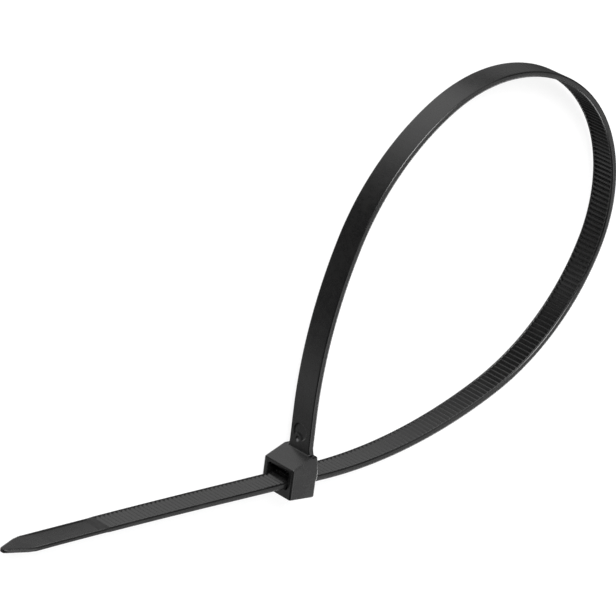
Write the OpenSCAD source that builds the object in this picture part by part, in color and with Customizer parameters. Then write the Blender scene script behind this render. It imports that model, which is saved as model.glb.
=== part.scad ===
// Self-locking cable tie, closed in a loop, lying on its side.
// One moulded piece: head, locking tongue, toothed band and pointed tail.
// Millimetres. Z is up and runs across the width of the band; X runs
// through the slot of the head, the free tail points to -X.

/* [Band] */
// Width of the band
band_width = 5.1; // [4.4:0.1:5.4]
// Thickness of the band over its side rails
band_thickness = 1.1; // [0.95:0.05:1.2]
// Thickness of the fixed end of the band, next to the head
root_thickness = 1.2; // [1:0.05:1.3]
// Width of the smooth rail on each side of the teeth
rail_width = 0.5; // [0.4:0.05:0.8]
// Thickness at the free end of the teeth
end_thickness = 0.85; // [0.8:0.05:0.95]
// Thickness of the plain section at the tip
tip_thickness = 0.7; // [0.6:0.05:0.75]

/* [Closed loop] */
// Height of the closed loop above the slot line
loop_height = 67.6; // [55:0.2:95]
// Length of the free tail from the middle of the head
tail_length = 60.8; // [40:0.2:110]
// Length of the plain, toothless section at the tip
plain_length = 19.9; // [12:0.1:25]

/* [Teeth] */
// Spacing of the teeth along the band
tooth_pitch = 0.9; // [0.9:0.05:1.3]
// Depth of the teeth
tooth_depth = 0.32; // [0.26:0.01:0.35]
// Toothless length next to the head on the fixed end of the band
root_plain = 16; // [12:1:40]

/* [Head] */
// Size of the head across the band
head_width = 7.5; // [7.2:0.1:8.4]
// Size of the head through the slot
head_depth = 5.6; // [5.4:0.05:6]
// Distance from the slot line to the outer end of the head
head_below = 2.7; // [2.4:0.05:3.1]
// Distance from the slot line to the step where the band is rooted
head_above = 4.9; // [4.8:0.05:5.6]
// Radius of the rounded head edges
head_round = 0.35; // [0.2:0.05:0.45]
// Width of the locking tongue
tongue_width = 3.4; // [2.4:0.1:3.4]

/* [Hidden] */

half_t = band_thickness / 2;
half_root = root_thickness / 2;
exit_x = -head_depth / 2;
entry_x = head_depth / 2;
channel_width = band_width - 2 * rail_width;
slot_width = band_width + 0.3;
crest_drop = 0.04;                     // the teeth end just below the rails
crest = half_t - crest_drop;
valley = crest - tooth_depth;
flank = 0.22;                          // length of the steep tooth flank
gap = 0.07;                            // running gap between tongue and band

// ---- centreline of the closed loop: tangent arcs, counter-clockwise ----
size = loop_height / 67.6;
radii = [88, 40.5, 26.5, 28, 43, 84] * size;
turns = [25.5, 45.5, 84.5, 57.5, 37, 21];
root_heading = 271;                    // the turns add up to this
start = [entry_x - 0.1, 0];
root = [1.85, head_above];

function arc_step(r, h, a) = [r * (sin(h + a) - sin(h)), r * (cos(h) - cos(h + a))];
function arcs_sum(i = 0, h = 0) = i == len(radii) ? [0, 0]
    : arc_step(radii[i], h, turns[i]) + arcs_sum(i + 1, h + turns[i]);

// two straight lengths close the loop on the root of the band
reach = arcs_sum();
lead_out = (root[1] - start[1] - reach[1]) / sin(root_heading);
lead_in = root[0] - start[0] - reach[0] - lead_out * cos(root_heading);

// each piece of the line: [length, bend in degrees]
line = concat([[start[0] + lead_in, 0]],
              [for (i = [0:len(radii) - 1]) [radii[i] * turns[i] * PI / 180, turns[i]]],
              [[lead_out + 1.2, 0]]);
function total(i = 0) = i == len(line) ? 0 : line[i][0] + total(i + 1);
band_end = total();

// moves [x, y, heading] on by length s along a piece of the line
function walk(p, piece, s) = piece[1] == 0
    ? [p[0] + s * cos(p[2]), p[1] + s * sin(p[2]), p[2]]
    : let (a = piece[1] * s / piece[0], r = piece[0] / (piece[1] * PI / 180))
      [p[0] + r * (sin(p[2] + a) - sin(p[2])), p[1] + r * (cos(p[2]) - cos(p[2] + a)), p[2] + a];
function on_loop(s, i = 0, p = [0, 0, 0]) = (i == len(line) - 1 || s <= line[i][0])
    ? walk(p, line[i], s)
    : on_loop(s - line[i][0], i + 1, walk(p, line[i], line[i][0]));

// the tail leaves the head straight and then bends by a hair
tail_straight = 15;
tail_radius = 2000;
function on_tail(d) = d <= tail_straight ? [-d, 0, 0]
    : let (a = (d - tail_straight) / tail_radius * 180 / PI)
      [-tail_straight - tail_radius * sin(a), -tail_radius * (1 - cos(a)), a];

// point at length s along the band (negative on the tail), offset to the inside
function place(p, d) = [p[0] - d * sin(p[2]), p[1] + d * cos(p[2])];
function at(s, d) = place(s < 0 ? on_tail(-s) : on_loop(s), d);

// ---- outline of the band ----
step_s = -(tail_length - plain_length);
// half of the thickness at s: thin at the tip, thick at the fixed end
thick_from = band_end - 68;
thick_to = band_end - 44;
function half(s) = s <= step_s - 0.4 ? tip_thickness / 2
    : lookup(s, [[step_s - 0.4, tip_thickness / 2], [step_s + 0.4, end_thickness / 2], [0, half_t],
                 [thick_from, half_t], [thick_to, half_root], [band_end + 1, half_root]]);
// stations along the band, with two of them at the step of the tip
tip_pieces = ceil((tail_length + step_s) / 1.3);
band_pieces = ceil((band_end - step_s) / 1.3);
stations = concat(
    [for (i = [0:tip_pieces]) -tail_length + (tail_length + step_s - 0.4) * i / tip_pieces],
    [for (i = [0:band_pieces]) step_s + 0.4 + (band_end - step_s - 0.4) * i / band_pieces]);
outer_line = [for (s = stations) at(s, -half(s))];
inner_line = [for (s = stations) at(s, half(s))];

module band_blank() {
    linear_extrude(height = band_width, center = true)
        polygon(concat(outer_line, [for (i = [len(inner_line) - 1:-1:0]) inner_line[i]]));
}

// ---- the toothed channel, cut between the rails ----
first_tooth = ceil((step_s + 0.35) / tooth_pitch);
last_tooth = floor((band_end - 1.2 - root_plain) / tooth_pitch);
tooth_line = concat(
    [for (n = [first_tooth:last_tooth]) each
        [at(n * tooth_pitch, half(n * tooth_pitch) - crest_drop),
         at(n * tooth_pitch + flank, half(n * tooth_pitch) - crest_drop - tooth_depth)]],
    [at((last_tooth + 1) * tooth_pitch, half_root - crest_drop),
     at((last_tooth + 1) * tooth_pitch + 1.2, half_root + 0.3)]);
over_line = [for (n = [last_tooth + 1:-2:first_tooth - 1]) at(n * tooth_pitch, half_root + 0.5)];

module toothed_channel() {
    linear_extrude(height = channel_width, center = true)
        polygon(concat(tooth_line, over_line,
                [at(first_tooth * tooth_pitch - 0.6, end_thickness / 2 + 0.3)]));
}

// ---- the plain recess of the tip section ----
module plain_recess() {
    face_d = tip_thickness / 2;
    floor_d = face_d - 0.15;
    linear_extrude(height = channel_width, center = true)
        polygon([at(-tail_length + 8.5, floor_d), at(-tail_length + 3.63, face_d + 0.02),
                 at(-tail_length + 3.63, face_d + 1), at(step_s - 0.45, face_d + 1),
                 at(step_s - 0.5, face_d - 0.02), at(step_s - 1.5, floor_d),
                 at((step_s - tail_length) / 2, floor_d)]);
}

// ---- the tapered point ----
tip_end = on_tail(tail_length);
module tip_taper(side) {
    translate([tip_end[0], tip_end[1], 0]) rotate([0, 0, tip_end[2]])
        translate([0, 3, 0]) rotate([90, 0, 0])
            linear_extrude(height = 6)
                polygon([[-1, side * 0.3], [0, side * 0.42], [0.12, side * 0.6], [2.0, side * 1.4],
                         [3.6, side * 2.12], [4.6, side * band_width / 2],
                         [7, side * (band_width / 2 + 0.6)],
                         [7, side * (band_width + 2)], [-1, side * (band_width + 2)]]);
}

// ---- round gate mark on the outer face, just above the head ----
gate_s = band_end - 1.2 - 3.3;
module gate_mark() {
    p = on_loop(gate_s);
    translate([p[0], p[1], 0]) rotate([0, 0, p[2] - 90])
        rotate([0, 90, 0]) difference() {
            translate([0.12, 0, half_root - 0.2]) cylinder(h = 0.4, r1 = 1.25, r2 = 1.9, $fn = 48);
            translate([0.5, 1.1, half_root - 0.5]) cylinder(h = 0.4, r = 0.4, $fn = 24);
        }
}

// ---- head ----
// rounds the corners of a polygon with radius r
function corner(a, b, c, r) =
    let (u = (a - b) / norm(a - b), v = (c - b) / norm(c - b),
         half = acos(u * v) / 2, d = r / tan(half),
         m = b + (u + v) / norm(u + v) * r / sin(half),
         p = b + u * d - m, q = b + v * d - m,
         turn = 180 - 2 * half, way = (p[0] * q[1] - p[1] * q[0]) > 0 ? 1 : -1)
    [for (i = [0:4]) let (w = way * turn * i / 4)
        m + [p[0] * cos(w) - p[1] * sin(w), p[0] * sin(w) + p[1] * cos(w)]];
function rounded(pts, r) = [for (i = [0:len(pts) - 1]) each
    corner(pts[(i + len(pts) - 1) % len(pts)], pts[i], pts[(i + 1) % len(pts)], r)];
function box_points(w, h) = [[-w / 2, -h / 2], [w / 2, -h / 2], [w / 2, h / 2], [-w / 2, h / 2]];

// a lip stands out above the mouth of the slot, in line with the band's root
side_points = [[exit_x, -head_below + 0.4], [entry_x, -head_below], [entry_x, 0.3],
               [entry_x + 0.36, 0.75], [entry_x + 0.32, 1.8], [root[0] + half_root + 0.02, head_above],
               [root[0] - half_root + 0.04, head_above], [exit_x, head_above - 1.7]];

module head_block() {
    intersection() {
        linear_extrude(height = head_width, center = true) polygon(rounded(side_points, head_round));
        translate([0, 10, 0]) rotate([90, 0, 0]) linear_extrude(height = 20)
            polygon(rounded([[exit_x, -head_width / 2], [entry_x + 0.45, -head_width / 2],
                             [entry_x + 0.45, head_width / 2], [exit_x, head_width / 2]],
                            head_round + 0.15));
        translate([-10, (head_above - head_below) / 2, 0]) rotate([90, 0, 90]) linear_extrude(height = 20)
            polygon(rounded(box_points(head_above + head_below, head_width), head_round));
    }
}

// tunnel for the band, with the room above the tongue and a flared mouth
tunnel_roof = head_above - 2.7;
module tunnel() {
    linear_extrude(height = slot_width, center = true)
        polygon([[exit_x - 2, -half_t - 0.1], [entry_x - 0.6, -half_t - 0.1], [entry_x + 0.6, -half_t - 0.6],
                 [entry_x + 0.6, half_t + 0.6], [entry_x - 0.6, half_t + 0.1], [1.1, half_t + 0.1],
                 [0.9, tunnel_roof - 0.5], [0.4, tunnel_roof], [exit_x + 0.5, tunnel_roof],
                 [exit_x, tunnel_roof + 0.5], [exit_x - 2, tunnel_roof + 0.5]]);
    // the mouth flares sideways too
    translate([entry_x - 0.5, 0, 0]) rotate([90, 0, 0])
        linear_extrude(height = band_thickness + 0.2, center = true)
            polygon([[-0.3, -slot_width / 2 + 0.1], [1, -slot_width / 2 - 0.45],
                     [1, slot_width / 2 + 0.45], [-0.3, slot_width / 2 - 0.1]]);
}

// locking tongue: hinged near the entry, free end towards the exit
tongue_teeth = 2;
function tongue_tooth(n) = [[n * tooth_pitch + flank + gap, valley + gap + 0.03],
                            [(n + 1) * tooth_pitch + gap, crest + gap + 0.03]];
module tongue() {
    linear_extrude(height = tongue_width, center = true)
        polygon(concat([[1.4, half_t + 0.1]],
            [[0.5, crest + gap + 0.03]],
            [for (n = [-1:-1:-tongue_teeth]) each [tongue_tooth(n)[1], tongue_tooth(n)[0]]],
            [[-tongue_teeth * tooth_pitch + 0.28, valley + 0.5],
             [-tongue_teeth * tooth_pitch + 0.05, 1.05], [-tongue_teeth * tooth_pitch + 0.35, 1.25],
             [-0.6, 1.3], [0.9, 1.15], [1.4, 1.2]]));
}

// small fillets where the band grows out of the head
module root_fillets() {
    for (side = [-1, 1])
        translate([root[0] - half_root + 0.02, 0, 0]) rotate([90, 0, 90])
            linear_extrude(height = root_thickness - 0.07)
                polygon([[head_above - 0.8, side * (band_width / 2 - 0.3)],
                         [head_above - 0.8, side * (band_width / 2 + 0.7)],
                         [head_above - 0.05, side * (band_width / 2 + 0.6)],
                         [head_above + 0.25, side * (band_width / 2 + 0.2)],
                         [head_above + 0.8, side * (band_width / 2 + 0.0)],
                         [head_above + 0.8, side * (band_width / 2 - 0.3)]]);
}

// ---- the whole tie, brought to the middle of its footprint ----
low_x = min([for (p = outer_line) p[0]]);
high_x = max([for (p = outer_line) p[0]]);
low_y = -head_below;
high_y = max([for (p = outer_line) p[1]]);

module cable_tie() {
    color([0.06, 0.06, 0.065])
    translate([-(low_x + high_x) / 2, -(low_y + high_y) / 2, head_width / 2]) {
        difference() {
            band_blank();
            toothed_channel();
            plain_recess();
            tip_taper(1);
            tip_taper(-1);
            gate_mark();
        }
        difference() {
            head_block();
            tunnel();
        }
        tongue();
        root_fillets();
    }
}

cable_tie();
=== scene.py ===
import bpy
import bmesh
import math
import numpy as np
from mathutils import Matrix, Vector


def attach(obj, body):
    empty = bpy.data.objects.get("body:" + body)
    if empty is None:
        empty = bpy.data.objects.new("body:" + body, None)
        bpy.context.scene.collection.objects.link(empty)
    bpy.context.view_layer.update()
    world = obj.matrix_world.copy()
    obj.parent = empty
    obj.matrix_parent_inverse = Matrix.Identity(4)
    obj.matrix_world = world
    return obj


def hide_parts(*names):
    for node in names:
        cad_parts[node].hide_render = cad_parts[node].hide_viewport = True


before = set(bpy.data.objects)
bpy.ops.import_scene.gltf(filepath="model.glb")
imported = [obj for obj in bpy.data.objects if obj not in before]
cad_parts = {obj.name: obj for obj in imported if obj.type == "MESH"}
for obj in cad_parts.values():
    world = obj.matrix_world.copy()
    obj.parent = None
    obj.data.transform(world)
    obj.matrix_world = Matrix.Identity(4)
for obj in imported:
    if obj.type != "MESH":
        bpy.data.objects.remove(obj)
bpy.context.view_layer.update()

# ---------------------------------------------------------------- sizes, mm
WIDTH, T_BAND, T_ROOT, T_END, T_TIP = 5.1, 1.1, 1.2, 0.85, 0.7
RAIL, PITCH, DEPTH, DROP, FLANK, GAP = 0.5, 0.9, 0.32, 0.04, 0.22, 0.07
TAIL, PLAIN, ROOT_PLAIN = 60.8, 19.9, 16.0
HEAD_W, HEAD_D, BELOW, ABOVE = 7.5, 5.6, 2.7, 4.9
EXIT, ENTRY = -HEAD_D / 2, HEAD_D / 2
RADII = [88, 40.5, 26.5, 28, 43, 84]
TURNS = [25.5, 45.5, 84.5, 57.5, 37, 21]
START, ROOT = (ENTRY - 0.1, 0.0), (1.85, ABOVE)


def loop_reach():
    x = y = h = 0.0
    for r, t in zip(RADII, TURNS):
        a, b = math.radians(h), math.radians(h + t)
        x += r * (math.sin(b) - math.sin(a))
        y += r * (math.cos(a) - math.cos(b))
        h += t
    return x, y


reach_x, reach_y = loop_reach()
LEAD_OUT = (ROOT[1] - START[1] - reach_y) / math.sin(math.radians(271))
LEAD_IN = ROOT[0] - START[0] - reach_x - LEAD_OUT * math.cos(math.radians(271))
LINE = ([(START[0] + LEAD_IN, 0.0)] + [(r * math.radians(t), t) for r, t in zip(RADII, TURNS)]
        + [(LEAD_OUT + 1.2, 0.0)])
BAND_END = sum(l for l, _ in LINE)
STEP = -(TAIL - PLAIN)


def frame_at(s):
    """x, y and heading of the band's centreline at length s; the tail is negative"""
    if s < 0:
        d = -s
        if d <= 15:
            return -d, 0.0, 0.0
        a = (d - 15) / 2000.0
        return -15 - 2000 * math.sin(a), -2000 * (1 - math.cos(a)), a
    x = y = h = 0.0
    for i, (l, t) in enumerate(LINE):
        last = i == len(LINE) - 1
        u = s if (last or s <= l) else l
        if t == 0:
            x += u * math.cos(h)
            y += u * math.sin(h)
        else:
            r = l / math.radians(t)
            a = math.radians(t) * u / l
            x += r * (math.sin(h + a) - math.sin(h))
            y += r * (math.cos(h) - math.cos(h + a))
            h += a
        if last or s <= l:
            return x, y, h
        s -= l


def half(s):
    return float(np.interp(s, [STEP - 0.4, STEP + 0.4, 0, BAND_END - 68, BAND_END - 44, BAND_END + 1],
                           [T_TIP / 2, T_END / 2, T_BAND / 2, T_BAND / 2, T_ROOT / 2, T_ROOT / 2]))


# ---------------------------------------------------------------- band sweep
FIRST_TOOTH = math.ceil((STEP + 0.35) / PITCH)
LAST_TOOTH = math.floor((BAND_END - 1.2 - ROOT_PLAIN) / PITCH)
S_CUT = BAND_END - 7.35                      # the sweep ends here, the head's mesh goes on
EDGE_W, EDGE_D = 0.33, 0.40                                  # rounding of the band's edges
INSET = 0.007                                # keeps the mesh within the solid's outline


def tip_width(u):
    """half-width of the band at u from its point"""
    return float(np.interp(u, [0, 0.10, 0.25, 0.6, 2.0, 3.6, 4.1, 4.6, 5.2],
                           [0.30, 0.46, 0.60, 0.80, 1.40, 2.10, 2.27, 2.37, WIDTH / 2]))


# one tooth along the band: rounded crest, steep flank, rounded valley, long ramp
TOOTH_T = [0, 0.04, FLANK - 0.03, FLANK + 0.02, FLANK + 0.07, PITCH - 0.13, PITCH]
TOOTH_D = [0, 0.018, DEPTH - 0.037, DEPTH - 0.004, DEPTH, 0.026, 0]


def channel_floor(s):
    """height of the surface between the rails at s, above the centreline"""
    h = half(s)
    u = s + TAIL
    if s < STEP - 0.45:
        # plain recess of the tip, running out towards the point
        return h - 0.15 * float(np.interp(u, [4.2, 8.5, PLAIN - 1.5, PLAIN - 0.45], [0, 1, 1, 0]))
    first, last = FIRST_TOOTH * PITCH, (LAST_TOOTH + 1) * PITCH
    if s <= first or s >= last + 0.5:
        return h
    if s > last:
        return h - DROP + DROP * (s - last) / 0.5
    n = math.floor(s / PITCH + 1e-9)
    t = s - n * PITCH
    return h - DROP - float(np.interp(t, TOOTH_T, TOOTH_D))


def stations():
    out = []
    # the tip: fine where it tapers
    out += [-TAIL + u for u in (0, 0.03, 0.08, 0.15, 0.25, 0.4, 0.6)]
    out += [-TAIL + u for u in np.arange(0.9, 5.3, 0.3)]
    out += [-TAIL + u for u in (5.4, 6.2, 7.0, 7.8, 8.2, 8.5, 8.8)]
    out += list(np.linspace(-TAIL + 9.8, STEP - 2.0, 12))
    out += [STEP + v for v in (-1.56, -1.5, -1.44, -1.1, -0.8, -0.6, -0.5, -0.45, -0.42, -0.36, -0.2, 0, 0.2, 0.36, 0.42, 0.6)]
    first = FIRST_TOOTH * PITCH
    for n in range(FIRST_TOOTH, LAST_TOOTH + 1):
        out += [n * PITCH + v for v in TOOTH_T[:-1]]
    last = (LAST_TOOTH + 1) * PITCH
    out += [last, last + 0.25, last + 0.5]
    out += list(np.linspace(last + 1.2, S_CUT, 12))
    return sorted(set(round(v, 5) for v in out))


def section(s):
    """closed outline of the band at s, as (offset to the inside, across) pairs"""
    h = half(s) * float(np.interp(s + TAIL, [0, 0.03, 0.08, 0.15, 0.25], [0.55, 0.72, 0.88, 0.97, 1])) - INSET
    w = min(WIDTH / 2, tip_width(s + TAIL)) - INSET
    tip = float(np.interp(s + TAIL, [4, 9], [0.45, 0.8]))
    rw, rd = min(EDGE_W, tip * w), min(EDGE_D, tip * h)
    c = min(channel_floor(s), h)
    turn = [math.pi / 8 * k for k in (1, 2, 3)]
    # outer face, its rounded edge, the side, the rounded edge of the rail
    pts = [(-h, z) for z in np.linspace(-(w - rw), w - rw, 4)]
    pts += [(-h + rd * (1 - math.cos(a)), w - rw + rw * math.sin(a)) for a in turn]
    pts += [(-h + rd, w), (h - rd, w)]
    pts += [(h - rd * (1 - math.sin(a)), w - rw + rw * math.cos(a)) for a in turn]
    # rail, its inner wall with a small round, floor of the channel
    zi = max(0.05, min((WIDTH / 2 - RAIL) * min(1.0, w / (WIDTH / 2)), w - rw - 0.08))
    depth = h - c
    r = max(0.03, min(0.15, w - rw - zi - 0.01))
    e, f = min(r, depth * 0.5), c + min(0.04, depth * 0.3)
    half_row = [(h, w - rw), (h, zi + r), (h - e * 0.3, zi + 0.003 + 0.28 * r), (h - e, zi + 0.003), (f, zi - 0.003), (c, zi - 0.03)]
    pts += half_row + [(c, 0.0)] + [(d, -z) for d, z in reversed(half_row)]
    pts += [(h - rd * (1 - math.sin(a)), -(w - rw + rw * math.cos(a))) for a in reversed(turn)]
    pts += [(h - rd, -w), (-h + rd, -w)]
    pts += [(-h + rd * (1 - math.cos(a)), -(w - rw + rw * math.sin(a))) for a in reversed(turn)]
    return pts


def band_mesh(bm):
    """sweeps the band from its point to S_CUT; returns the open last ring"""
    rings = []
    for s in stations():
        x, y, h = frame_at(s)
        nx, ny = -math.sin(h), math.cos(h)
        rings.append([bm.verts.new((x + d * nx, y + d * ny, z)) for d, z in section(s)])
    n = len(rings[0])
    for a, b in zip(rings, rings[1:]):
        for i in range(n):
            j = (i + 1) % n
            bm.faces.new((a[i], a[j], b[j], b[i]))
    bm.faces.new(rings[0])
    return rings[-1]


# ---------------------------------------------------------------- distance fields
def sd_polygon(px, py, pts):
    d = np.full(px.shape, 1e9)
    inside = np.zeros(px.shape, bool)
    m = len(pts)
    for i in range(m):
        ax, ay = pts[i]
        bx, by = pts[(i + 1) % m]
        ex, ey = bx - ax, by - ay
        wx, wy = px - ax, py - ay
        t = np.clip((wx * ex + wy * ey) / (ex * ex + ey * ey), 0, 1)
        d = np.minimum(d, (wx - ex * t) ** 2 + (wy - ey * t) ** 2)
        cond = (ay > py) != (by > py)
        with np.errstate(divide="ignore", invalid="ignore"):
            cross = px < (bx - ax) * (py - ay) / (by - ay + (1e-12 if by == ay else 0)) + ax
        inside ^= cond & cross
    d = np.sqrt(d)
    return np.where(inside, -d, d)


def inset(pts, r):
    """polygon with every side moved in by r (counter-clockwise points)"""
    out = []
    m = len(pts)
    for i in range(m):
        p, q, s = (np.array(pts[(i + k - 1) % m], float) for k in range(3))
        u, v = q - p, s - q
        u /= np.linalg.norm(u)
        v /= np.linalg.norm(v)
        n1, n2 = np.array((-u[1], u[0])), np.array((-v[1], v[0]))
        a = np.array([n1, n2])
        out.append(tuple(np.linalg.solve(a, (n1 @ q + r, n2 @ q + r))))
    return out


def extrude(d2, z, hz):
    a, b = d2, np.abs(z) - hz
    return np.minimum(np.maximum(a, b), 0) + np.sqrt(np.maximum(a, 0) ** 2 + np.maximum(b, 0) ** 2)


def smin(a, b, k):
    h = np.maximum(k - np.abs(a - b), 0) / k
    return np.minimum(a, b) - h * h * k / 4


def smax(a, b, k):
    return -smin(-a, -b, k)


SIDE = [(EXIT, -BELOW + 0.4), (ENTRY, -BELOW), (ENTRY, 0.3), (ENTRY + 0.36, 0.75), (ENTRY + 0.32, 1.8),
        (ROOT[0] + T_ROOT / 2 + 0.02, ABOVE), (ROOT[0] - T_ROOT / 2 + 0.04, ABOVE), (EXIT, ABOVE - 1.7)]
HT = T_BAND / 2
ROOF = ABOVE - 2.7
TUNNEL = [(EXIT - 2, -HT - 0.1), (ENTRY - 0.6, -HT - 0.1), (ENTRY + 0.6, -HT - 0.6), (ENTRY + 0.6, HT + 0.6),
          (ENTRY - 0.6, HT + 0.1), (1.1, HT + 0.1), (0.9, ROOF - 0.5), (0.4, ROOF),
          (EXIT + 0.5, ROOF), (EXIT, ROOF + 0.5), (EXIT - 2, ROOF + 0.5)]
CREST, VALLEY = HT - DROP, HT - DROP - DEPTH


def tongue_points():
    pts = [(1.4, HT + 0.1), (0.5, CREST + GAP + 0.03)]
    for n in (-1, -2):
        pts += [((n + 1) * PITCH + GAP, CREST + GAP + 0.03), (n * PITCH + FLANK + GAP, VALLEY + GAP + 0.03)]
    pts += [(-2 * PITCH + 0.28, VALLEY + 0.5), (-2 * PITCH + 0.05, 1.05), (-2 * PITCH + 0.35, 1.25), (-0.6, 1.3),
            (0.9, 1.15), (1.4, 1.2)]
    return pts[::-1]


A_END = frame_at(BAND_END)
U_END = (-math.cos(A_END[2]), -math.sin(A_END[2]))      # up the strap, away from the head
N_END = (-math.sin(A_END[2]), math.cos(A_END[2]))       # towards the inside of the loop
GATE_B, GATE_R, GATE_DEEP = 4.45, 1.6, 0.22


def head_field(x, y, z):
    r = 0.38
    d2 = sd_polygon(x[:, :, 0], y[:, :, 0], inset(SIDE, r))[:, :, None] if x.ndim == 3 else sd_polygon(x, y, inset(SIDE, r))
    block = extrude(d2 + 0 * z, z, HEAD_W / 2 - INSET - r) - r + INSET
    # upright edges are rounder than the others
    rv = np.where(z > 0, 0.7, 0.42)
    ex = np.maximum(EXIT + rv - x, x - (ENTRY + 0.45 - rv))
    ez = np.abs(z) - (HEAD_W / 2 - INSET - rv)
    col = np.minimum(np.maximum(ex, ez), 0) + np.sqrt(np.maximum(ex, 0) ** 2 + np.maximum(ez, 0) ** 2) - rv
    block = smax(block, col, 0.06)
    # tunnel and its sideways flare
    t2 = sd_polygon(x[:, :, 0], y[:, :, 0], TUNNEL)[:, :, None] if x.ndim == 3 else sd_polygon(x, y, TUNNEL)
    slot_w = (WIDTH + 0.3) / 2 + 0.45 * np.clip((x - (ENTRY - 0.8)) / 1.3, 0, 1)
    tun = smax(t2 + 0 * z, (np.abs(z) - slot_w) * 0.95, 0.12)
    d = smax(block, -tun, 0.16)
    # tongue
    g2 = sd_polygon(x[:, :, 0], y[:, :, 0], tongue_points())[:, :, None] if x.ndim == 3 else sd_polygon(x, y, tongue_points())
    ton = extrude(g2 + 0.04 + 0 * z, z, 1.7 - 0.04) - 0.04
    d = smin(d, ton, 0.06)
    # fixed end of the band
    a = (x - A_END[0]) * N_END[0] + (y - A_END[1]) * N_END[1]
    b = (x - A_END[0]) * U_END[0] + (y - A_END[1]) * U_END[1]
    h, w = T_ROOT / 2 - INSET, WIDTH / 2 - INSET
    flare = 0.22 * np.clip((2.3 - b) / 1.0, 0, 1) ** 2
    qa, qz = (np.abs(a) - h + EDGE_D) / EDGE_D, (np.abs(z) - w - flare + EDGE_W) / EDGE_W
    k = np.sqrt(np.maximum(qa, 0) ** 2 + np.maximum(qz, 0) ** 2)
    # distance to the rounded outline, good near the surface
    g = np.sqrt((np.maximum(qa, 0) / EDGE_D) ** 2 + (np.maximum(qz, 0) / EDGE_W) ** 2) / np.maximum(k, 1e-6)
    inner = np.maximum((qa - 1) * EDGE_D, (qz - 1) * EDGE_W)
    strap = np.where(k > 0.3, np.maximum((k - 1) / np.maximum(g, 1e-6), inner), inner)
    strap = np.maximum(strap, -b)
    # round gate mark with sloping walls, and the crater-like stub of the gate low in it
    rho = np.sqrt((b - GATE_B) ** 2 + (z + 0.12) ** 2)
    stub = np.sqrt((b - GATE_B + 1.45) ** 2 + (z + 0.55) ** 2)
    cut = smax((rho - GATE_R) * 0.6 + (a + h) * 0.8, a + h - GATE_DEEP, 0.08)
    nub = smax((stub - 0.95) * 0.65 - (a + h) * 0.75, -h + 0.03 - a, 0.08)
    cut = smax(cut, -nub, 0.08)
    strap = smax(strap, -cut, 0.05)
    dish = smax((stub - 0.5) * 0.6 + (a + h) * 0.8, a + h - 0.16, 0.08)
    strap = smax(strap, -dish, 0.05)
    return smin(d, strap, 0.12)


def surface_nets(f, org, step):
    inside = f < 0
    n0, n1, n2 = f.shape
    cnt = np.zeros((n0 - 1, n1 - 1, n2 - 1), np.int8)
    for i in (0, 1):
        for j in (0, 1):
            for k in (0, 1):
                cnt += inside[i:n0 - 1 + i, j:n1 - 1 + j, k:n2 - 1 + k]
    active = (cnt > 0) & (cnt < 8)
    idx = np.full(cnt.shape, -1, np.int64)
    I, J, K = np.nonzero(active)
    idx[active] = np.arange(len(I))
    acc = np.zeros((len(I), 3))
    num = np.zeros(len(I))
    for axis in range(3):
        for a in (0, 1):
            for b in (0, 1):
                o = [0, 0, 0]
                o[(axis + 1) % 3], o[(axis + 2) % 3] = a, b
                e = list(o)
                e[axis] = 1
                f0, f1 = f[I + o[0], J + o[1], K + o[2]], f[I + e[0], J + e[1], K + e[2]]
                m = (f0 < 0) != (f1 < 0)
                p = np.stack([I + o[0], J + o[1], K + o[2]], 1).astype(float)
                p[m, axis] += f0[m] / (f0[m] - f1[m])
                acc[m] += p[m]
                num[m] += 1
    verts = np.array(org) + step * acc / num[:, None]
    quads = []
    for axis in range(3):
        u, v = (axis + 1) % 3, (axis + 2) % 3
        s0 = np.take(inside, range(0, f.shape[axis] - 1), axis)
        s1 = np.take(inside, range(1, f.shape[axis]), axis)
        P = np.stack(np.nonzero(s0 != s1), 1)
        ok = (P[:, u] > 0) & (P[:, v] > 0) & (P[:, u] < f.shape[u] - 1) & (P[:, v] < f.shape[v] - 1)
        P = P[ok]
        first = s0[tuple(P.T)]

        def cell(du, dv):
            q = P.copy()
            q[:, u] += du
            q[:, v] += dv
            return idx[tuple(q.T)]
        q = np.stack([cell(-1, -1), cell(0, -1), cell(0, 0), cell(-1, 0)], 1)
        q[~first] = q[~first][:, ::-1]
        quads.append(q)
    return verts, np.concatenate(quads)


def head_mesh(step):
    x0, x1 = EXIT - 0.3, ENTRY + 0.36 + 0.3
    y0, y1 = -BELOW - 0.3, A_END[1] + 8.2
    z0 = HEAD_W / 2 + 0.3
    nx, ny, nz = (int(math.ceil(v / step)) + 1 for v in (x1 - x0, y1 - y0, 2 * z0))
    xs = x0 + step * np.arange(nx)
    ys = y0 + step * np.arange(ny)
    zs = -step * (nz - 1) / 2 + step * np.arange(nz)
    X, Y, Z = np.meshgrid(xs, ys, zs, indexing="ij")
    f = head_field(X, Y, Z)
    v, q = surface_nets(f, (xs[0], ys[0], zs[0]), step)
    # bring the points onto the surface itself
    e = 0.01
    for _ in range(3):
        g = np.stack([(head_field(v[:, 0] + dx, v[:, 1] + dy, v[:, 2] + dz)
                       - head_field(v[:, 0] - dx, v[:, 1] - dy, v[:, 2] - dz)) / (2 * e)
                      for dx, dy, dz in ((e, 0, 0), (0, e, 0), (0, 0, e))], 1)
        d = head_field(v[:, 0], v[:, 1], v[:, 2])
        g2 = np.maximum((g ** 2).sum(1), 0.25)
        mv = -(d / g2)[:, None] * g
        ln = np.linalg.norm(mv, axis=1)
        mv *= np.minimum(1, 0.3 * step / np.maximum(ln, 1e-9))[:, None]
        v = v + mv
    return v, q


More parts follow.
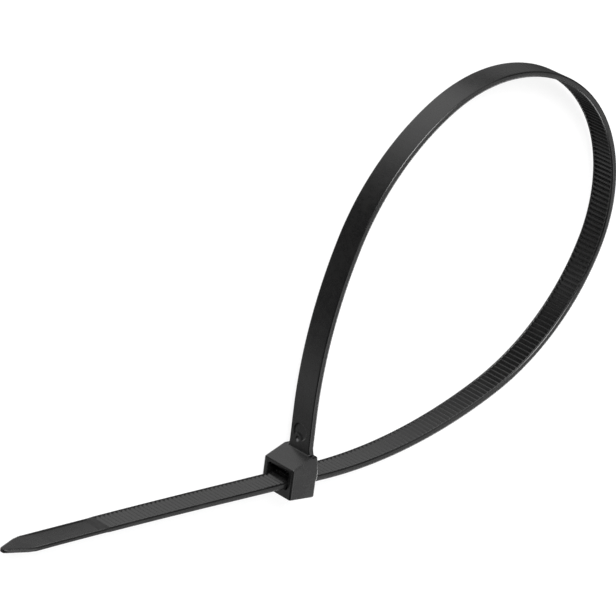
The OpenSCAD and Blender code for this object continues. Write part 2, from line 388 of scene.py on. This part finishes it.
def stitch(bm, ring, loop):
    """closes the strip between two loops round the straight end of the band"""
    def angle(v):
        a = (v.co.x - A_END[0]) * N_END[0] + (v.co.y - A_END[1]) * N_END[1]
        return math.atan2(v.co.z, a)
    A = sorted(ring, key=angle)
    B = sorted(loop, key=angle)
    a0 = [angle(v) for v in A]
    b0 = [angle(v) for v in B]
    i = j = 0
    while i < len(A) or j < len(B):
        na = a0[i + 1] if i + 1 < len(A) else (a0[0] + 2 * math.pi if i < len(A) else 99)
        nb = b0[j + 1] if j + 1 < len(B) else (b0[0] + 2 * math.pi if j < len(B) else 99)
        p, q = A[i % len(A)], B[j % len(B)]
        if na <= nb:
            bm.faces.new((p, A[(i + 1) % len(A)], q))
            i += 1
        else:
            bm.faces.new((p, B[(j + 1) % len(B)], q))
            j += 1


def tie_mesh():
    """the whole tie as one closed mesh, in millimetres of the head's frame"""
    v, q = head_mesh(0.09)
    me = bpy.data.meshes.new("head_part")
    me.from_pydata(v.tolist(), [], q.tolist())
    ob = bpy.data.objects.new("head_part", me)
    bpy.context.scene.collection.objects.link(ob)
    bm = bmesh.new()
    bm.from_mesh(me)
    b_cut = BAND_END - S_CUT - 0.08
    co = (A_END[0] + U_END[0] * b_cut, A_END[1] + U_END[1] * b_cut, 0)
    bmesh.ops.bisect_plane(bm, geom=bm.verts[:] + bm.edges[:] + bm.faces[:], dist=1e-5, plane_co=co,
                           plane_no=(U_END[0], U_END[1], 0), clear_outer=True)
    bmesh.ops.triangulate(bm, faces=bm.faces[:])
    bm.to_mesh(me)
    bm.free()
    dec = ob.modifiers.new("decimate", "DECIMATE")
    dec.ratio = min(1.0, 72000 / len(me.polygons))
    dec.use_symmetry = False
    group = ob.vertex_groups.new(name="keep")
    dg = bpy.context.evaluated_depsgraph_get()
    me2 = bpy.data.meshes.new_from_object(ob.evaluated_get(dg))
    bpy.data.objects.remove(ob)
    bm = bmesh.new()
    bm.from_mesh(me2)
    bpy.data.meshes.remove(me2)
    bm.verts.ensure_lookup_table()
    loop = [v for v in bm.verts if v.is_boundary]
    ring = band_mesh(bm)
    stitch(bm, ring, loop)
    bmesh.ops.recalc_face_normals(bm, faces=bm.faces[:])
    return bm


# ---------------------------------------------------------------- the tie
tip_pieces = math.ceil((TAIL + STEP) / 1.3)
band_pieces = math.ceil((BAND_END - STEP) / 1.3)
rim = [-TAIL + (TAIL + STEP - 0.4) * i / tip_pieces for i in range(tip_pieces + 1)]
rim += [STEP + 0.4 + (BAND_END - STEP - 0.4) * i / band_pieces for i in range(band_pieces + 1)]
outline = []
for s in rim:
    px, py, ph = frame_at(s)
    outline.append((px + half(s) * math.sin(ph), py - half(s) * math.cos(ph)))
CX = (min(p[0] for p in outline) + max(p[0] for p in outline)) / 2
CY = (-BELOW + max(p[1] for p in outline)) / 2

bm = tie_mesh()
for vert in bm.verts:
    vert.co = Vector(((vert.co.x - CX) / 1000, (vert.co.y - CY) / 1000, (vert.co.z + HEAD_W / 2) / 1000))
open_edges = sum(1 for e in bm.edges if len(e.link_faces) != 2)
for face in bm.faces:
    face.smooth = True
me = bpy.data.meshes.new("tie_moulding")
bm.to_mesh(me)
bm.free()
# normals weighted by area, so flats stay flat and small roundings carry the turn
me.calc_loop_triangles()
co = np.empty(len(me.vertices) * 3)
me.vertices.foreach_get("co", co)
co = co.reshape(-1, 3) * 1000
tri = np.empty(len(me.loop_triangles) * 3, np.int32)
me.loop_triangles.foreach_get("vertices", tri)
tri = tri.reshape(-1, 3)
n = np.cross(co[tri[:, 1]] - co[tri[:, 0]], co[tri[:, 2]] - co[tri[:, 0]])
normals = np.zeros_like(co)
for corner in range(3):
    np.add.at(normals, tri[:, corner], n)
normals /= np.maximum(np.linalg.norm(normals, axis=1), 1e-12)[:, None]
me.normals_split_custom_set_from_vertices(normals.tolist())
print("tie_moulding:", len(me.vertices), "vertices,", len(me.loop_triangles), "triangles,", open_edges, "open edges")
tie = bpy.data.objects.new("tie_moulding", me)
bpy.context.scene.collection.objects.link(tie)
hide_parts("cable_tie")
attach(tie, "root")

# ---------------------------------------------------------------- material
# black moulded nylon: a soft sheen, slightly uneven from the mould, fine grain
mat = bpy.data.materials.new("nylon")
mat.use_nodes = True
mt = mat.node_tree
b = mt.nodes["Principled BSDF"]
place = mt.nodes.new("ShaderNodeTexCoord")


def noise(scale, detail, rough=0.5, stretch=None, distort=0.0):
    n = mt.nodes.new("ShaderNodeTexNoise")
    n.inputs["Scale"].default_value = scale
    n.inputs["Detail"].default_value = detail
    n.inputs["Roughness"].default_value = rough
    n.inputs["Distortion"].default_value = distort
    src = place.outputs["Object"]
    if stretch:
        m = mt.nodes.new("ShaderNodeMapping")
        m.inputs["Scale"].default_value = stretch
        mt.links.new(src, m.inputs["Vector"])
        src = m.outputs["Vector"]
    mt.links.new(src, n.inputs["Vector"])
    return n.outputs["Fac"]


def remap(value, a0, a1, b0, b1):
    m = mt.nodes.new("ShaderNodeMapRange")
    m.inputs["From Min"].default_value = a0
    m.inputs["From Max"].default_value = a1
    m.inputs["To Min"].default_value = b0
    m.inputs["To Max"].default_value = b1
    mt.links.new(value, m.inputs["Value"])
    return m.outputs["Result"]


def calc(op, x, y):
    n = mt.nodes.new("ShaderNodeMath")
    n.operation = op
    for i, v in enumerate((x, y)):
        if isinstance(v, (int, float)):
            n.inputs[i].default_value = v
        else:
            mt.links.new(v, n.inputs[i])
    return n.outputs[0]


# centre of the painted highlight, a pale spot on the lower left of the gate's stub
painted_highlight_at = (A_END[0] + U_END[0] * (GATE_B - 1.66) - N_END[0] * T_ROOT / 2,
        A_END[1] + U_END[1] * (GATE_B - 1.66) - N_END[1] * T_ROOT / 2, -0.6)
GATE_PAINTED_HIGHLIGHT = ((painted_highlight_at[0] - CX) / 1000, (painted_highlight_at[1] - CY) / 1000, (painted_highlight_at[2] + HEAD_W / 2) / 1000)
cloud = noise(190, 4, 0.6)                    # patches about 5 mm across
mottle = noise(1100, 3, 0.6, distort=0.4)     # patches about 1 mm across
grain = noise(9000, 2, 0.5)                   # grain about 0.1 mm across
ripple = noise(420, 2, 0.5, stretch=(1, 1, 0.25))

# colour: near black, warmer and greyer in patches
tint = mt.nodes.new("ShaderNodeValToRGB")
tint.color_ramp.elements[0].position = 0.3
tint.color_ramp.elements[0].color = (0.0036, 0.0036, 0.0039, 1)
tint.color_ramp.elements[1].position = 0.72
tint.color_ramp.elements[1].color = (0.0078, 0.0077, 0.0075, 1)
blend = calc("ADD", calc("MULTIPLY", cloud, 0.6), calc("MULTIPLY", mottle, 0.4))
mt.links.new(blend, tint.inputs["Fac"])
# painted highlight: a pale grey spot on the lower left of the broken gate's stub, standing in for a glint of light
# there
away = mt.nodes.new("ShaderNodeVectorMath")
away.operation = "DISTANCE"
mt.links.new(place.outputs["Object"], away.inputs[0])
away.inputs[1].default_value = GATE_PAINTED_HIGHLIGHT
painted_highlight = mt.nodes.new("ShaderNodeMixRGB")
mt.links.new(remap(away.outputs["Value"], 0.00016, 0.00034, 0.8, 0.0), painted_highlight.inputs["Fac"])
mt.links.new(tint.outputs["Color"], painted_highlight.inputs["Color1"])
painted_highlight.inputs["Color2"].default_value = (0.16, 0.16, 0.165, 1)
mt.links.new(painted_highlight.outputs["Color"], b.inputs["Base Color"])

# sheen: glossier and duller patches, broken up by the grain
rough = calc("ADD", remap(cloud, 0.3, 0.7, 0.21, 0.31), remap(mottle, 0.3, 0.7, -0.03, 0.035))
rough = calc("ADD", rough, remap(grain, 0.3, 0.7, -0.02, 0.03))
mt.links.new(rough, b.inputs["Roughness"])

# surface: slow waves of the moulding, fine grain
wave = mt.nodes.new("ShaderNodeBump")
wave.inputs["Strength"].default_value = 0.6
wave.inputs["Distance"].default_value = 0.00003
mt.links.new(ripple, wave.inputs["Height"])
fine = mt.nodes.new("ShaderNodeBump")
fine.inputs["Strength"].default_value = 0.22
fine.inputs["Distance"].default_value = 0.000004
mt.links.new(calc("ADD", grain, calc("MULTIPLY", mottle, 1.5)), fine.inputs["Height"])
mt.links.new(wave.outputs["Normal"], fine.inputs["Normal"])
mt.links.new(fine.outputs["Normal"], b.inputs["Normal"])
tie.data.materials.append(mat)

# ---------------------------------------------------------------- camera
cam_data = bpy.data.cameras.new("camera")
cam_data.sensor_width = 36.0
cam_data.lens = 255.7
cam = bpy.data.objects.new("camera", cam_data)
bpy.context.scene.collection.objects.link(cam)
right = Vector((0.746574, 0.12216, 0.653991)).normalized()
fwd = Vector((0.646428, -0.365681, -0.669634))
fwd = (fwd - right * fwd.dot(right)).normalized()
up = right.cross(fwd)
cam.matrix_world = Matrix((
    (right.x, up.x, -fwd.x, -0.469718),
    (right.y, up.y, -fwd.y, 0.261990),
    (right.z, up.z, -fwd.z, 0.486423),
    (0, 0, 0, 1)))
cam_data.clip_start = 0.05
cam_data.clip_end = 20
bpy.context.scene.camera = cam

# ---------------------------------------------------------------- stage
mesh = bpy.data.meshes.new("floor")
mesh.from_pydata([(-6, -6, 0), (6, -6, 0), (6, 6, 0), (-6, 6, 0)], [], [(0, 1, 2, 3)])
floor = bpy.data.objects.new("floor", mesh)
floor.location = (0, 0, -0.0001)
bpy.context.scene.collection.objects.link(floor)
fm = bpy.data.materials.new("floor")
fm.use_nodes = True
fb = fm.node_tree.nodes["Principled BSDF"]
fb.inputs["Base Color"].default_value = (0.25, 0.25, 0.25, 1)
fb.inputs["Roughness"].default_value = 0.9
fb.inputs["Emission Color"].default_value = (1, 1, 1, 1)
fb.inputs["Emission Strength"].default_value = 0.79
floor.data.materials.append(fm)
floor.visible_glossy = False

# soft studio surroundings: each soft box is a smooth patch of the sky
world = bpy.data.worlds.new("studio")
world.use_nodes = True
nt = world.node_tree
nt.nodes.clear()
coord = nt.nodes.new("ShaderNodeTexCoord")
total = None


def math_node(op, a, b=None, clamp=False):
    n = nt.nodes.new("ShaderNodeMath")
    n.operation = op
    n.use_clamp = clamp
    for i, v in enumerate((a, b)):
        if v is None:
            continue
        if isinstance(v, (int, float)):
            n.inputs[i].default_value = v
        else:
            nt.links.new(v, n.inputs[i])
    return n.outputs[0]


def soft_box(direction, inner, outer, strength):
    """adds light that is full within inner degrees of a direction and gone past outer"""
    global total
    d = Vector(direction).normalized()
    dot = nt.nodes.new("ShaderNodeVectorMath")
    dot.operation = "DOT_PRODUCT"
    nt.links.new(coord.outputs["Generated"], dot.inputs[0])
    dot.inputs[1].default_value = d
    ramp = nt.nodes.new("ShaderNodeMapRange")
    ramp.interpolation_type = "SMOOTHSTEP"
    ramp.inputs["From Min"].default_value = math.cos(math.radians(outer))
    ramp.inputs["From Max"].default_value = math.cos(math.radians(inner))
    ramp.inputs["To Min"].default_value = 0
    ramp.inputs["To Max"].default_value = strength
    nt.links.new(dot.outputs["Value"], ramp.inputs["Value"])
    out = ramp.outputs["Result"]
    total = out if total is None else math_node("ADD", total, out)


soft_box((0.45, -0.4, 0.8), 20, 55, 0.76)          # broad overhead light
soft_box((0, -0.37, 0.93), 6, 24, 1.3)
soft_box((0.35, 0.25, 0.9), 8, 26, 1.0)
soft_box((-0.35, 0.68, 0.62), 7, 22, 15.0)          # small lights for the edges
soft_box((0.83, -0.53, 0.08), 6, 17, 8.0)
soft_box((0.0, -0.98, 0.12), 7, 19, 9.0)
soft_box((0.17, 0.79, 0.59), 8, 24, 0.7)
soft_box((0.62, -0.70, -0.35), 5, 15, 0.8)
soft_box((0.2, 0, -0.97), 12, 38, 1.4)

# low ring of reflectors, as brightness against the bearing in degrees
RING = [(0, 0.06), (30, 0.30), (42, 0.40), (54, 0.14), (62, 0.26), (70, 1.10), (77, 1.02), (81, 1.34),
        (86, 1.46), (104, 1.42), (112, 1.20), (121, 0.92), (129, 0.60), (136, 0.32), (145, 0.07), (175, 0.06),
        (190, 0.16), (198, 0.36), (203, 0.76), (207, 0.84), (211, 0.28), (216, 0.20), (235, 0.22),
        (250, 0.42), (275, 0.46), (287, 0.40), (296, 0.14), (302, 0.04), (345, 0.03)]
axes = nt.nodes.new("ShaderNodeSeparateXYZ")
nt.links.new(coord.outputs["Generated"], axes.inputs[0])
bearing = math_node("ARCTAN2", axes.outputs["Y"], axes.outputs["X"])
bearing = math_node("FRACT", math_node("ADD", math_node("MULTIPLY", bearing, 0.5 / math.pi), 1.0))
ring = nt.nodes.new("ShaderNodeValToRGB")
ring.color_ramp.interpolation = "LINEAR"
elements = ring.color_ramp.elements
elements[0].position, elements[0].color = 0.0, [0.5 * RING[0][1]] * 3 + [1]
elements[1].position, elements[1].color = 1.0, [0.5 * RING[0][1]] * 3 + [1]
for angle, level in RING[1:]:
    e = elements.new(angle / 360)
    e.color = [0.5 * level] * 3 + [1]
nt.links.new(bearing, ring.inputs["Fac"])
low = nt.nodes.new("ShaderNodeMapRange")
low.interpolation_type = "SMOOTHSTEP"
low.inputs["From Min"].default_value = 0.35
low.inputs["From Max"].default_value = 0.0
low.inputs["To Min"].default_value = 0
low.inputs["To Max"].default_value = 2
nt.links.new(axes.outputs["Z"], low.inputs["Value"])
total = math_node("ADD", total, math_node("MULTIPLY", ring.outputs["Color"], low.outputs["Result"]))
total = math_node("ADD", total, 0.025)
back = nt.nodes.new("ShaderNodeBackground")
back.inputs["Color"].default_value = (1, 1, 1, 1)
nt.links.new(total, back.inputs["Strength"])
plain = nt.nodes.new("ShaderNodeBackground")
plain.inputs["Color"].default_value = (1, 1, 1, 1)
plain.inputs["Strength"].default_value = 1.0
path = nt.nodes.new("ShaderNodeLightPath")
mix = nt.nodes.new("ShaderNodeMixShader")
nt.links.new(path.outputs["Is Camera Ray"], mix.inputs[0])
nt.links.new(back.outputs[0], mix.inputs[1])
nt.links.new(plain.outputs[0], mix.inputs[2])
out = nt.nodes.new("ShaderNodeOutputWorld")
nt.links.new(mix.outputs[0], out.inputs["Surface"])
bpy.context.scene.world = world
bpy.context.scene.view_settings.view_transform = "Standard"
